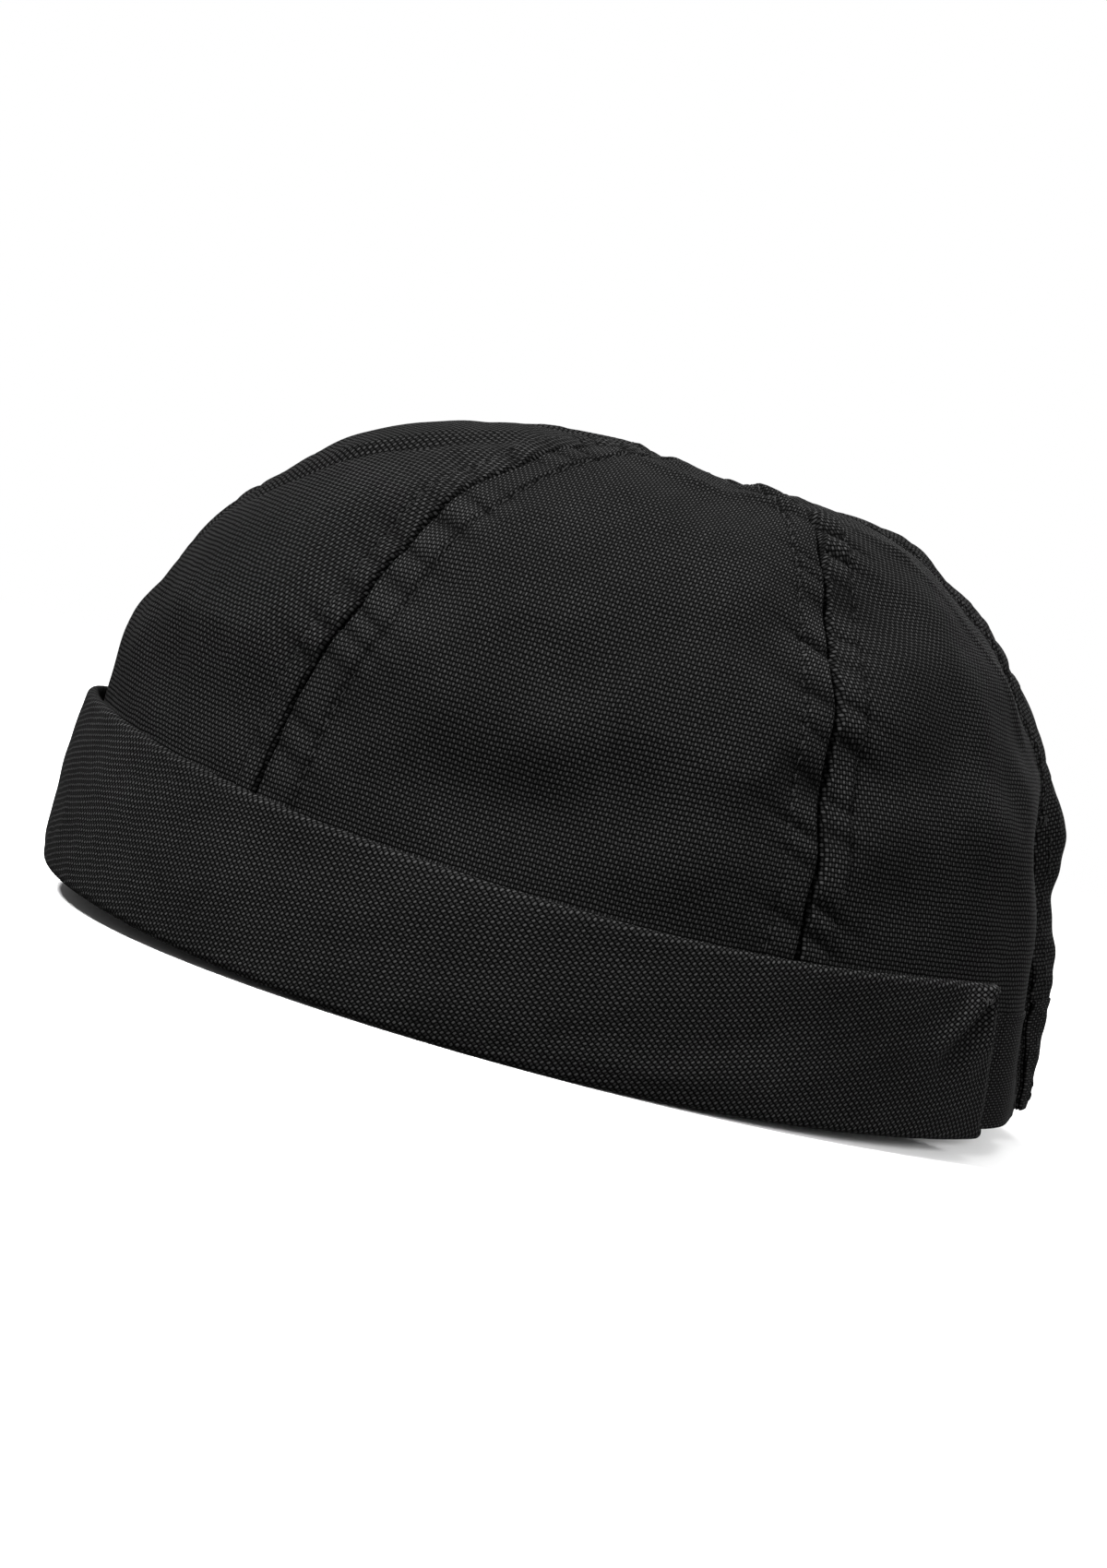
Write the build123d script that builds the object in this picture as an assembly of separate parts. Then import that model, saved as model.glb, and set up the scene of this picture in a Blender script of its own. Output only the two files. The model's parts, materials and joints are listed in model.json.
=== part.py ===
from build123d import *
import os
from math import atan2, cos, degrees, hypot, pi, radians, sin

# A low canvas chef's cap with six crown panels, a turned-up cuff and an adjustable vent at the back.
# Frame: +Z up, the rim rests on z = 0, the front is -Y and the wearer's left is +X.
# Every cloth piece is a patch of one family of surfaces: the crown's outside, moved in or out by an
# offset in millimetres. A meridian is named by its angle, 0 at the front and 90 at the wearer's left.

# Crown, on the outside of its cloth
HALF_WIDTH = 86.0
HALF_LENGTH = 102.5
HEIGHT = 118.0
PROFILE_POWER = 2.7  # 2 would be an ellipse, and more makes the sides steeper and the top flatter
REAR_PROFILE_POWER = 2.35  # the back of the crown slopes more
REAR_PROFILE_ANGLES = (105.0, 175.0)  # the profile changes between these meridians
TOP_LEAN = 8.0  # the top of the crown lies this far behind the middle of the rim
LEAN_POWER = 6
CENTRE_Y = 1.85  # puts the whole cap's box over the origin
APEX_HOLE = 1.0  # radius where the six points meet, closed by the centre tape

# Cloth layers, each as outer and inner offset
CLOTH = (0.0, -0.8)
FACING = (-0.95, -1.4)
TAPE = (-0.9, -1.3)
SWEATBAND = (-0.9, -1.7)
SWEATBAND_THREAD = (-1.75, -1.95)
LABEL = (-1.75, -1.95)
THREAD = (0.32, 0.12)
TACK = (0.6, 0.12)
UNDERLAY = (-1.45, -1.95)
HOOKS = (-1.45, -2.35)
HOOK_THREAD = (-2.4, -2.5)
LOOPS = (-2.85, -3.55)
TAB = (-3.6, -4.3)
TAB_BASE = (-2.05, -4.3)
TAB_THREAD = (-4.35, -4.5)

# Panels and seams
BAND_TOP = 25.0
FRONT_SEAM = 58.0
REAR_SEAM = 119.0
BUTT_GAP = 0.05  # half the gap between two sewn edges
RIM_CLEARANCE = 1.3
ROW_OFFSET = 6.5  # a topstitch row lies this far from its seam
THREAD_WIDTH = 0.5
TAPE_HALF_WIDTH = 7.5
TAPE_FOOT = 31.0
ROW_TOP_RADIUS = 16.0  # the rows stop at this distance from the apex
SHORT_TAPE_RADIUS = 16.5

# Sweatband
SWEATBAND_TOP = 30.0
SWEATBAND_FOOT = 1.5
SWEATBAND_ROW = 27.5
SWEATBAND_ENDS = (197.0, 500.0)

# Cuff: a strip folded double, its fold at the top
CUFF_HEIGHT = 31.5
CUFF_INNER = 0.8
CUFF_OUTER = 3.6
CUFF_LAYER = 0.8
CUFF_ROLL = 1.3
CUFF_FOOT = 1.2  # the turn of the cloth under the rim
CUFF_GAP_TOP = 48.0  # half the opening at the back, at the fold and at the rim
CUFF_GAP_FOOT = 41.0
TACK_LENGTH = 7.0
TACK_WIDTH = 1.6

# Vent and its closure
SLIT_TOP = 62.0
SLIT_HALF_WIDTH = 6.0
FACING_WIDTH = 14.0
FACING_TOP = 66.0
UNDERLAY_ENDS = (173.0, 192.0)
UNDERLAY_TOP = 64.0
VENT_ROW_OFFSET = 3.0
TAB_FOOT = 3.0
TAB_TOP = 23.0
TAB_HINGE_ANGLE = 186.0
TAB_END_ANGLE = 152.0
TAB_BASE_ANGLES = (186.6, 191.0)
HOOK_ANGLES = (153.5, 170.0)
LOOP_ANGLES = (154.0, 171.0)
TAPE_MARGIN = 1.5

LABEL_ANGLES = (204.0, 216.0)
LABEL_HEIGHTS = (6.0, 24.0)

MATCH_TOLERANCE = 0.002


def smooth_step(value, low, high):
    share = min(max((value - low) / (high - low), 0.0), 1.0)
    return share * share * (3 - 2 * share)


def profile_power(angle):
    """The power of the crown's profile on a meridian."""
    from_front = abs((angle + 180) % 360 - 180)
    return PROFILE_POWER + (REAR_PROFILE_POWER - PROFILE_POWER) * smooth_step(from_front, *REAR_PROFILE_ANGLES)


def partner(share, power):
    """The share of the height that goes with a share of the width, or the other way round."""
    return max(1 - abs(share) ** power, 0.0) ** (1 / power)


def reach(polar, angle):
    """Share of the half width and half length that a crown point has at a polar angle in radians."""
    power = profile_power(angle)
    return cos(polar) / (abs(cos(polar)) ** power + abs(sin(polar)) ** power) ** (1 / power)


def polar_at_height(height, offset, angle):
    """Polar angle at which the surface of this offset has this height on a meridian."""
    rise = height / (HEIGHT + offset)
    return atan2(rise, partner(rise, profile_power(angle)))


def polar_at_radius(radius, angle):
    """Polar angle at which a meridian is this far from the apex, measured by the crown's width."""
    run = radius / HALF_WIDTH
    return atan2(partner(run, profile_power(angle)), run)


def crown_point(angle, polar, offset, lateral=0.0):
    """A point of the surface on a meridian, or beside it by a lateral distance. Past 90 degrees, polar
    runs down the far side."""
    width = HALF_WIDTH + offset
    length = HALF_LENGTH + offset
    turn = radians(angle)
    share = reach(polar, angle if polar <= pi / 2 else angle + 180)
    across = sin(turn) * share
    along = -cos(turn) * share
    if lateral:
        step_x = width * cos(turn)
        step_y = length * sin(turn)
        step = hypot(step_x, step_y)
        across += lateral * step_x / step / width
        along += lateral * step_y / step / length
        # Low down the cross lines stay level, and near the apex they run straight over it.
        level = 1 - smooth_step(sin(polar), sin(radians(60)), sin(radians(80)))
        stretch = hypot(across, along) / max(abs(share), 1e-6)
        across /= 1 + (stretch - 1) * level
        along /= 1 + (stretch - 1) * level
    rise = partner(hypot(across, along), profile_power(degrees(atan2(across, -along))))
    y = CENTRE_Y + TOP_LEAN * rise**LEAN_POWER + length * along
    return (width * across, y, (HEIGHT + offset) * rise)


def angle_step(distance, angle, polar):
    """Degrees along a level line that cover a distance at this meridian and polar angle."""
    turn = radians(angle)
    scale = hypot(HALF_WIDTH * cos(turn), HALF_LENGTH * sin(turn)) * reach(polar, angle)
    return degrees(distance / scale)


def layer(point, offsets, across, along):
    """A closed solid between two offsets of point(u, v, offset), u and v running from 0 to 1."""
    skins = []
    for offset in offsets:
        rows = []
        for j in range(along):
            rows.append([Vector(*point(i / (across - 1), j / (along - 1), offset)) for i in range(across)])
        skins.append(Face.make_surface_from_array_of_points(rows, tol=MATCH_TOLERANCE))
    sides = []
    for outer_edge, inner_edge in zip(skins[0].edges(), skins[1].edges()):
        sides.append(Face.make_surface_from_curves(outer_edge, inner_edge))
    solid = Solid(Shell(skins + sides))
    return solid if solid.volume > 0 else Solid(Shell([-face for face in skins + sides]))


def slit_angle(height):
    """Angle from the centre back to the edge of the slit at a height."""
    open_share = max(1 - height / SLIT_TOP, 0.0)
    return angle_step(BUTT_GAP + SLIT_HALF_WIDTH * open_share, 180, 0.0)


def band_piece(angles, heights, offsets, across=8, along=4):
    """A patch between two meridians and two heights."""
    start, end = angles
    low, high = heights

    def point(u, v, offset):
        height = low + (high - low) * v
        angle = start + (end - start) * u
        return crown_point(angle, polar_at_height(height, offset, angle), offset)

    return layer(point, offsets, across, along)


def panel(start, end):
    """A crown panel from the band up to the apex, with the slit cut from an edge at the centre back."""

    def edge(angle, inward, height, polar):
        if angle == 180:
            return angle + inward * slit_angle(height) / reach(polar, angle)
        return angle + inward * angle_step(BUTT_GAP, angle, polar)

    def point(u, v, offset):
        angle = start + (end - start) * u
        foot = polar_at_height(BAND_TOP + BUTT_GAP, offset, angle)
        polar = foot + (polar_at_radius(APEX_HOLE, angle) - foot) * v
        height = crown_point(angle, polar, offset)[2]
        low = edge(start, 1, height, polar)
        high = edge(end, -1, height, polar)
        return crown_point(low + (high - low) * u, polar, offset)

    return layer(point, CLOTH, 9, 22)


def seam_strip(angle, lateral, half_width, foot, top, offsets):
    """A strip along a seam, beside it by a lateral distance, from a height up to a polar angle."""

    def point(u, v, offset):
        low = polar_at_height(foot, offset, angle)
        beside = lateral + half_width * (2 * u - 1)
        return crown_point(angle, low + (top - low) * v, offset, beside)

    return layer(point, offsets, 4, 30)


def slit_strip(side, near, far, foot, top, offsets):
    """A strip beside the slit. side is 1 for the wearer's left and -1 for the right."""

    def point(u, v, offset):
        height = foot + (top - foot) * v
        polar = polar_at_height(height, offset, 180)
        away = slit_angle(height) + angle_step(near + (far - near) * u, 180, polar)
        return crown_point(180 - side * away, polar, offset)

    return layer(point, offsets, 4, 8)


def topstitch_rows(angle, foot=BAND_TOP + 1):
    """Two rows of topstitching, one on each side of a seam."""
    top = polar_at_radius(ROW_TOP_RADIUS, angle)
    rows = []
    for side in (-1, 1):
        rows.append(seam_strip(angle, side * ROW_OFFSET, THREAD_WIDTH / 2, foot, top, THREAD))
    return Compound(rows)


def elliptic_wall(inner, outer, low, high):
    """An upright wall around the head between two offsets."""
    plane = Plane((0, CENTRE_Y, low))
    outline = plane * Ellipse(HALF_WIDTH + outer, HALF_LENGTH + outer)
    hollow = plane * Ellipse(HALF_WIDTH + inner, HALF_LENGTH + inner)
    return extrude(outline - hollow, high - low)


def cuff_opening(clearance=0.0):
    """The block that parts the two ends of the cuff. It is wider at the fold than at the rim."""
    slope = (CUFF_GAP_TOP - CUFF_GAP_FOOT) / CUFF_HEIGHT
    spare = 5.0
    foot = CUFF_GAP_FOOT - slope * spare + clearance
    top = CUFF_GAP_TOP + slope * spare + clearance
    low = -spare
    high = CUFF_HEIGHT + spare
    outline = Plane.XZ * Polygon((-foot, low), (foot, low), (top, high), (-top, high), align=None)
    return Pos(0, HALF_LENGTH + HALF_WIDTH, 0) * extrude(outline, HALF_LENGTH + HALF_WIDTH / 2)


def cuff():
    """The folded strip: an outer and an inner layer joined by the rolled fold, and a foot under the rim."""
    body = elliptic_wall(CUFF_INNER, CUFF_OUTER, 0, CUFF_HEIGHT)
    fold_edges = body.edges().group_by(Axis.Z)[-1]
    body = fillet(fold_edges, CUFF_ROLL)
    pocket = elliptic_wall(CUFF_INNER + CUFF_LAYER, CUFF_OUTER - CUFF_LAYER, -1, CUFF_HEIGHT - CUFF_ROLL)
    foot = elliptic_wall(CLOTH[1], CUFF_INNER + CUFF_LAYER, 0, CUFF_FOOT)
    return (body - pocket + foot) - cuff_opening()


def cuff_interlining():
    """The stiffener inside the fold."""
    clearance = 0.15
    inner = CUFF_INNER + CUFF_LAYER + clearance
    outer = CUFF_OUTER - CUFF_LAYER - clearance
    return elliptic_wall(inner, outer, CUFF_FOOT, CUFF_HEIGHT - 2 * CUFF_ROLL) - cuff_opening(1.0)


def cuff_bar_tack(side):
    """The dense stitches across the top corner of one end of the cuff."""
    wall = elliptic_wall(CUFF_OUTER + TACK[1], CUFF_OUTER + TACK[0], 0, CUFF_HEIGHT)
    height = CUFF_HEIGHT - CUFF_ROLL - TACK_WIDTH
    middle = CUFF_GAP_TOP + TACK_LENGTH / 2 + 1
    block = Pos(side * middle, HALF_LENGTH, height) * Box(TACK_LENGTH, HALF_LENGTH, TACK_WIDTH)
    return wall & block


def vent_bar_tack():
    """The stitches that close the top of the slit."""
    spread = angle_step(TACK_LENGTH / 2, 180, 0.0)
    return band_piece((180 - spread, 180 + spread), (SLIT_TOP, SLIT_TOP + TACK_WIDTH), TACK)


def edge_thread(angles, heights, offsets):
    """The stitching around a rectangle of tape: its four sides, as one closed frame."""
    start, end = angles
    low, high = heights
    wide = angle_step(THREAD_WIDTH, 180, 0.0)
    bars = [
        band_piece((start + wide, end - wide), (low, low + THREAD_WIDTH), offsets),
        band_piece((start + wide, end - wide), (high - THREAD_WIDTH, high), offsets),
        band_piece((start, start + wide * 0.9), (low, high), offsets),
        band_piece((end - wide * 0.9, end), (low, high), offsets),
    ]
    return Compound(bars)


def build():
    """Every piece of the cap, by name."""
    left_slit = 180 - slit_angle(0)
    right_slit = 180 + slit_angle(0)
    full_turn = 360
    pieces = {
        "front_panel_left": panel(0, FRONT_SEAM),
        "front_panel_right": panel(-FRONT_SEAM, 0),
        "side_panel_left": panel(FRONT_SEAM, REAR_SEAM),
        "side_panel_right": panel(-REAR_SEAM, -FRONT_SEAM),
        "rear_panel_left": panel(REAR_SEAM, 180),
        "rear_panel_right": panel(180, full_turn - REAR_SEAM),
        "rim_band": band_piece(
            (right_slit, left_slit + full_turn), (RIM_CLEARANCE, BAND_TOP - BUTT_GAP), CLOTH, 72
        ),
        "sweatband": band_piece(SWEATBAND_ENDS, (SWEATBAND_FOOT, SWEATBAND_TOP), SWEATBAND, 64),
        "sweatband_stitching": band_piece(
            SWEATBAND_ENDS, (SWEATBAND_ROW, SWEATBAND_ROW + THREAD_WIDTH), SWEATBAND_THREAD, 64
        ),
        "care_label": band_piece(LABEL_ANGLES, LABEL_HEIGHTS, LABEL),
        "cuff": cuff(),
        "cuff_interlining": cuff_interlining(),
        "cuff_bar_tack_left": cuff_bar_tack(1),
        "cuff_bar_tack_right": cuff_bar_tack(-1),
    }
    side_seams = {
        "front_left": FRONT_SEAM,
        "front_right": -FRONT_SEAM,
        "rear_left": REAR_SEAM,
        "rear_right": -REAR_SEAM,
    }
    pieces["seam_tape_centre"] = centre_tape()
    for name, angle in side_seams.items():
        top = polar_at_radius(SHORT_TAPE_RADIUS, angle)
        pieces["seam_tape_" + name] = seam_strip(angle, 0, TAPE_HALF_WIDTH, TAPE_FOOT, top, TAPE)
        pieces["topstitch_" + name] = topstitch_rows(angle)
    pieces["topstitch_front_centre"] = topstitch_rows(0)
    pieces["topstitch_rear_centre"] = topstitch_rows(180, FACING_TOP)
    for name, side in (("left", 1), ("right", -1)):
        pieces["vent_facing_" + name] = slit_strip(side, 0.2, FACING_WIDTH, RIM_CLEARANCE, FACING_TOP, FACING)
        near = VENT_ROW_OFFSET
        pieces["vent_topstitch_" + name] = slit_strip(
            side, near, near + THREAD_WIDTH, RIM_CLEARANCE + 1, SLIT_TOP - 1, THREAD
        )
    tape_heights = (TAB_FOOT + TAPE_MARGIN, TAB_TOP - TAPE_MARGIN)
    pieces["vent_bar_tack"] = vent_bar_tack()
    pieces["vent_underlay"] = band_piece(UNDERLAY_ENDS, (RIM_CLEARANCE, UNDERLAY_TOP), UNDERLAY, 6, 8)
    pieces["hook_tape"] = band_piece(HOOK_ANGLES, tape_heights, HOOKS)
    pieces["loop_tape"] = band_piece(LOOP_ANGLES, tape_heights, LOOPS)
    pieces["closure_tab"] = band_piece((TAB_END_ANGLE, TAB_HINGE_ANGLE), (TAB_FOOT, TAB_TOP), TAB, 12)
    pieces["closure_tab_base"] = band_piece(TAB_BASE_ANGLES, (TAB_FOOT, TAB_TOP), TAB_BASE)
    pieces["hook_tape_stitching"] = edge_thread(HOOK_ANGLES, tape_heights, HOOK_THREAD)
    pieces["loop_tape_stitching"] = edge_thread(LOOP_ANGLES, tape_heights, TAB_THREAD)
    pieces["closure_tab_stitching"] = edge_thread(TAB_BASE_ANGLES, (TAB_FOOT, TAB_TOP), TAB_THREAD)
    return pieces


def centre_tape():
    """The long tape from the front, over the apex, to just above the vent's facings."""
    rear_foot = FACING_TOP + 1

    def point(u, v, offset):
        low = polar_at_height(TAPE_FOOT, offset, 0)
        high = pi - polar_at_height(rear_foot, offset, 180)
        beside = TAPE_HALF_WIDTH * (2 * u - 1)
        return crown_point(0, low + (high - low) * v, offset, beside)

    return layer(point, TAPE, 5, 48)


os.makedirs("parts", exist_ok=True)
for name, shape in build().items():
    shape.label = name
    export_step(shape, f"parts/{name}.step")
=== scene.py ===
import json
from math import cos, degrees, pi, radians, sin

import bpy
import numpy as np
from mathutils import Matrix, Vector


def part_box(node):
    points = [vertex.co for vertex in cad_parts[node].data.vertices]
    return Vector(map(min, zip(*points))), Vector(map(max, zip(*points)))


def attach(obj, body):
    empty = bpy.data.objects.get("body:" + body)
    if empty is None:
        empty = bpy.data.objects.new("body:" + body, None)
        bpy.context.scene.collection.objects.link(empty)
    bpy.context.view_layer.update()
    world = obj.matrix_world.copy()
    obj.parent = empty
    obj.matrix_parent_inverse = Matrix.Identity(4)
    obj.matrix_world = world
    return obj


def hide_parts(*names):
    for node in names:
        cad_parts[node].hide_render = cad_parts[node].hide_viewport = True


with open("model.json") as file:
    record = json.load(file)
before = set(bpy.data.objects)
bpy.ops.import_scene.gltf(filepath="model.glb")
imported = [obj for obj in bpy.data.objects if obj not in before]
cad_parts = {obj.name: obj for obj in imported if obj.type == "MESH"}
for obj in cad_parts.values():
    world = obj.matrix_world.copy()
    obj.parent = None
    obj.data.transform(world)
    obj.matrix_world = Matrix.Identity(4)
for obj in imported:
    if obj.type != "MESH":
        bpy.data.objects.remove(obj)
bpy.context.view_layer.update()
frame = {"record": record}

# A black canvas chef's cap. Lengths are in millimetres until a mesh is made, and the crown is described
# as the CAD model describes it: by a meridian's angle (0 at the front, 90 at the wearer's left) and a
# polar angle up the profile. Every layer of the crown shares one relief, so that the layers stay stacked.

MM = 0.001
RNG_SEED = 7


def corner(node, end, axis):
    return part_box(node)[end][axis] / MM


def mount_place(name):
    for mount in frame["record"]["mounts"]:
        if mount["name"] == name:
            return [value / MM for value in mount["pos_m"]]
    raise ValueError(name)


# ---- Driving sizes, read from the frame where it holds them ----
CENTRE_Y = mount_place("head_opening")[1]
HALF_WIDTH = corner("rim_band", 1, 0)
HALF_LENGTH = CENTRE_Y - corner("rim_band", 0, 1)
HEIGHT = corner("front_panel_left", 1, 2)
BAND_TOP = corner("rim_band", 1, 2)
CUFF_TOP = corner("cuff", 1, 2)
CUFF_OUTER = corner("cuff", 1, 0) - HALF_WIDTH
SWEATBAND_TOP = corner("sweatband", 1, 2)
SLIT_TOP = corner("vent_bar_tack", 0, 2)
FACING_TOP = corner("vent_facing_left", 1, 2)
UNDERLAY_TOP = corner("vent_underlay", 1, 2)
TAB_FOOT = corner("closure_tab", 0, 2)
TAB_TOP = corner("closure_tab", 1, 2)

PROFILE_POWER = 2.7
REAR_PROFILE_POWER = 2.35
REAR_PROFILE_ANGLES = (105.0, 175.0)
TOP_LEAN = 8.0
LEAN_POWER = 6
RIM_LIFT = 4.8  # the front and the back of the soft rim ride this much above its sides
SEAMS = {
    "front_centre": 0,
    "front_left": 58,
    "rear_left": 119,
    "rear_centre": 180,
    "rear_right": -119,
    "front_right": -58,
}
CLOTH = 0.8
STITCH_PITCH = 3.0
SLIT_HALF_WIDTH = 6.0
SEAM_SWAY = 2.5
# For each seam: the distances of its topstitch rows on its lower and its higher meridian side, the height and
# spacing of the puckers beside it, and how far its allowances stand above the panels
SEAM_FORM = {
    "front_centre": (6.5, 6.5, 0.7, 8.0, 0.8),
    "front_left": (5.4, 9.0, 1.15, 7.5, 0.7),
    "rear_left": (6.7, 6.3, 1.7, 9.0, 0.65),
    "rear_centre": (6.5, 6.5, 0.8, 9.0, 1.0),
    "rear_right": (6.5, 6.5, 0.9, 9.0, 0.5),
    "front_right": (6.5, 6.5, 0.6, 8.0, 0.5),
}
# For each panel: its first and last meridian, and how far its middle stands out
PANELS = {
    "front_panel_left": (0, 58, 3.0),
    "side_panel_left": (58, 119, 2.6),
    "rear_panel_left": (119, 180, 2.0),
    "rear_panel_right": (180, 241, 5.2),
    "side_panel_right": (241, 302, 3.2),
    "front_panel_right": (302, 360, 7.0),
}
TAPE_HALF_WIDTH = 7.5
ROW_TOP_RADIUS = 16.0
SHORT_TAPE_RADIUS = 16.5
RIM_CLEARANCE = 1.3
CUFF_LAYER = 0.7
CUFF_GAP_TOP = 48.0
CUFF_GAP_FOOT = 41.0


# ---- Camera, lights and surroundings ----
CAP_MIDDLE = Vector((0, 0, 0.06))


def make_camera(azimuth, elevation, roll, distance, lens, aim):
    """A camera at an azimuth and elevation, turned by roll, that looks beside the cap's middle by aim."""
    turn, tilt, spin = radians(azimuth), radians(elevation), radians(roll)
    back = Vector((sin(turn) * cos(tilt), -cos(turn) * cos(tilt), sin(tilt)))
    level = Vector((cos(turn), sin(turn), 0))
    upright = back.cross(level)
    right = level * cos(spin) + upright * sin(spin)
    up = upright * cos(spin) - level * sin(spin)
    target = CAP_MIDDLE + right * aim[0] + up * aim[1]
    data = bpy.data.cameras.new("camera")
    data.lens = lens
    data.clip_start = 0.01
    camera = bpy.data.objects.new("camera", data)
    place = Matrix((right, up, back)).transposed().to_4x4()
    place.translation = target + back * distance
    camera.matrix_world = place
    bpy.context.scene.collection.objects.link(camera)
    bpy.context.scene.camera = camera


make_camera(azimuth=93.3, elevation=3.5, roll=15.1, distance=0.72, lens=79.4, aim=(-0.0086, -0.0112))


def make_light(name, place, size, power):
    """A square area light aimed at the cap's middle, with its size in metres and its power in watts."""
    data = bpy.data.lights.new(name, "AREA")
    data.size = size
    data.energy = power
    light = bpy.data.objects.new(name, data)
    light.location = place
    light.rotation_euler = (Vector(place) - CAP_MIDDLE).to_track_quat("Z", "Y").to_euler()
    bpy.context.scene.collection.objects.link(light)


make_light("key", (0.7, -1.0, 1.5), 0.4, 105.0)
make_light("fill", (1.5, 0.9, 0.7), 0.8, 12.0)
make_light("back", (0.7, 1.4, 0.9), 0.7, 24.0)
make_light("top", (-0.5, 0.1, 1.3), 0.8, 9.0)
make_light("far_side", (-1.5, 0.6, 0.5), 1.0, 13.0)


def set_inputs(tree, node, inputs):
    """Set a node's inputs from sockets or plain values."""
    for name, value in inputs.items():
        if isinstance(value, bpy.types.NodeSocket):
            tree.links.new(value, node.inputs[name])
        else:
            node.inputs[name].default_value = value


def new_node(tree, kind, inputs):
    node = tree.nodes.new("ShaderNode" + kind)
    set_inputs(tree, node, inputs)
    return node


def math_node(tree, operation, *values):
    """A Math node on sockets or plain numbers."""
    node = new_node(tree, "Math", dict(enumerate(values)))
    node.operation = operation
    return node.outputs[0]


def multiply(tree, a, b):
    return math_node(tree, "MULTIPLY", a, b)


def multiply_add(tree, a, b, c):
    return math_node(tree, "MULTIPLY_ADD", a, b, c)


def make_world(strength):
    """White surroundings that light the cap softly, by less than they show."""
    world = bpy.data.worlds.new("studio")
    world.use_nodes = True
    background = world.node_tree.nodes["Background"]
    background.inputs["Color"].default_value = (1, 1, 1, 1)
    seen = world.node_tree.nodes.new("ShaderNodeLightPath").outputs["Is Camera Ray"]
    level = multiply_add(world.node_tree, seen, 1.0 - strength, strength)
    world.node_tree.links.new(level, background.inputs["Strength"])
    bpy.context.scene.world = world


make_world(0.4)
bpy.context.scene.view_settings.view_transform = "Standard"


# ---- The crown's surface ----
def smooth(value, low, high):
    share = np.clip((value - low) / (high - low), 0, 1)
    return share * share * (3 - 2 * share)


def wrapped(angle):
    return (angle + 180) % 360 - 180


def profile_power(angle):
    """The power of the crown's profile on a meridian."""
    share = smooth(np.abs(wrapped(angle)), *REAR_PROFILE_ANGLES)
    return PROFILE_POWER + (REAR_PROFILE_POWER - PROFILE_POWER) * share


def partner(share, power):
    """The share of the height that goes with a share of the width, or the other way round."""
    return np.clip(1 - np.abs(share) ** power, 0, 1) ** (1 / power)


def profile(polar, angle=0.0):
    """(share of the half width, share of the height) at a polar angle."""
    power = profile_power(angle)
    run, rise = np.cos(polar), np.sin(polar)
    size = (np.abs(run) ** power + np.abs(rise) ** power) ** (1 / power)
    return run / size, rise / size


def polar_at_height(height, angle=0.0):
    rise = np.clip(np.asarray(height, float) / HEIGHT, 0, 1)
    return np.arctan2(rise, partner(rise, profile_power(angle)))


def base(angle, polar):
    """The smooth crown, without its relief."""
    reach, rise = profile(polar, angle)
    turn = np.radians(angle)
    x = HALF_WIDTH * np.sin(turn) * reach
    y = CENTRE_Y + TOP_LEAN * rise**LEAN_POWER - HALF_LENGTH * np.cos(turn) * reach
    z = HEIGHT * rise + 0 * turn
    return np.stack([x, y, z], -1)


def base_normal(angle, polar):
    """The smooth crown's outward normal."""
    step = 1e-3
    across = base(angle + degrees(step), polar) - base(angle - degrees(step), polar)
    along = base(angle, polar + step) - base(angle, polar - step)
    normal = np.cross(across, along)
    return normal / np.maximum(np.linalg.norm(normal, axis=-1, keepdims=True), 1e-9)


ARC_POLAR = np.linspace(0, pi / 2, 900)
ARC_REACH, ARC_RISE = profile(ARC_POLAR)
MEAN_RADIUS = (HALF_WIDTH + HALF_LENGTH) / 2
ARC_LENGTH = np.concatenate(
    [[0], np.cumsum(np.hypot(np.diff(ARC_REACH) * MEAN_RADIUS, np.diff(ARC_RISE) * HEIGHT))]
)


def arc_of(polar):
    return np.interp(polar, ARC_POLAR, ARC_LENGTH)


def polar_of(arc):
    return np.interp(arc, ARC_LENGTH, ARC_POLAR)


def level_scale(angle, polar):
    """Millimetres to one radian of meridian angle."""
    turn = np.radians(angle)
    return np.hypot(HALF_WIDTH * np.cos(turn), HALF_LENGTH * np.sin(turn)) * profile(polar)[0]


def sway(angle, polar):
    """How far the seams wander off their meridians, in degrees, and the cloth beside them with them. Those
    beside the side panels lean forward near the rim."""
    angle, polar = np.broadcast_arrays(np.asarray(angle, float), np.asarray(polar, float))
    away = np.abs(wrapped(angle)) - SEAMS["front_left"]
    height = HEIGHT * profile(polar, angle)[1]
    total = -SEAM_SWAY * np.sign(wrapped(angle)) * np.exp(-((away / 24) ** 2)) * (1 - smooth(height, 40, 80))
    arc = arc_of(polar)
    above_slit = smooth(height, SLIT_TOP - 6, SLIT_TOP + 10)
    for index, name in enumerate(SEAMS):
        scale = np.maximum(level_scale(SEAMS[name], polar), 12)
        side = np.radians(wrapped(angle - SEAMS[name])) * scale
        drift = 0.55 * wave_line(arc, (15, 26, 41), 40 + 2 * index) * np.exp(-((side / 9) ** 2))
        drift = drift * (above_slit if name == "rear_centre" else 1)
        total = total + np.degrees(drift / scale) * smooth(scale, 12, 22)
    return total


def beside_seam(name, polar, lateral):
    """(meridian angle, polar angle) of the place beside a seam's meridian by a distance seen from above.
    Past a quarter turn, polar runs down the far side."""
    turn = radians(SEAMS[name])
    far = polar > pi / 2
    reach = profile(polar, SEAMS[name] + 180 * far)[0]
    step = np.array([HALF_WIDTH * cos(turn), HALF_LENGTH * sin(turn)])
    step /= np.linalg.norm(step)
    across = sin(turn) * reach + lateral * step[0] / HALF_WIDTH
    along = -cos(turn) * reach + lateral * step[1] / HALF_LENGTH
    angle = np.degrees(np.arctan2(across, -along))
    share = np.minimum(np.hypot(across, along), 0.9999)
    height_share = partner(share, profile_power(angle))
    place = np.arctan2(height_share, share)
    return angle + sway(angle, place), place


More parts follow.
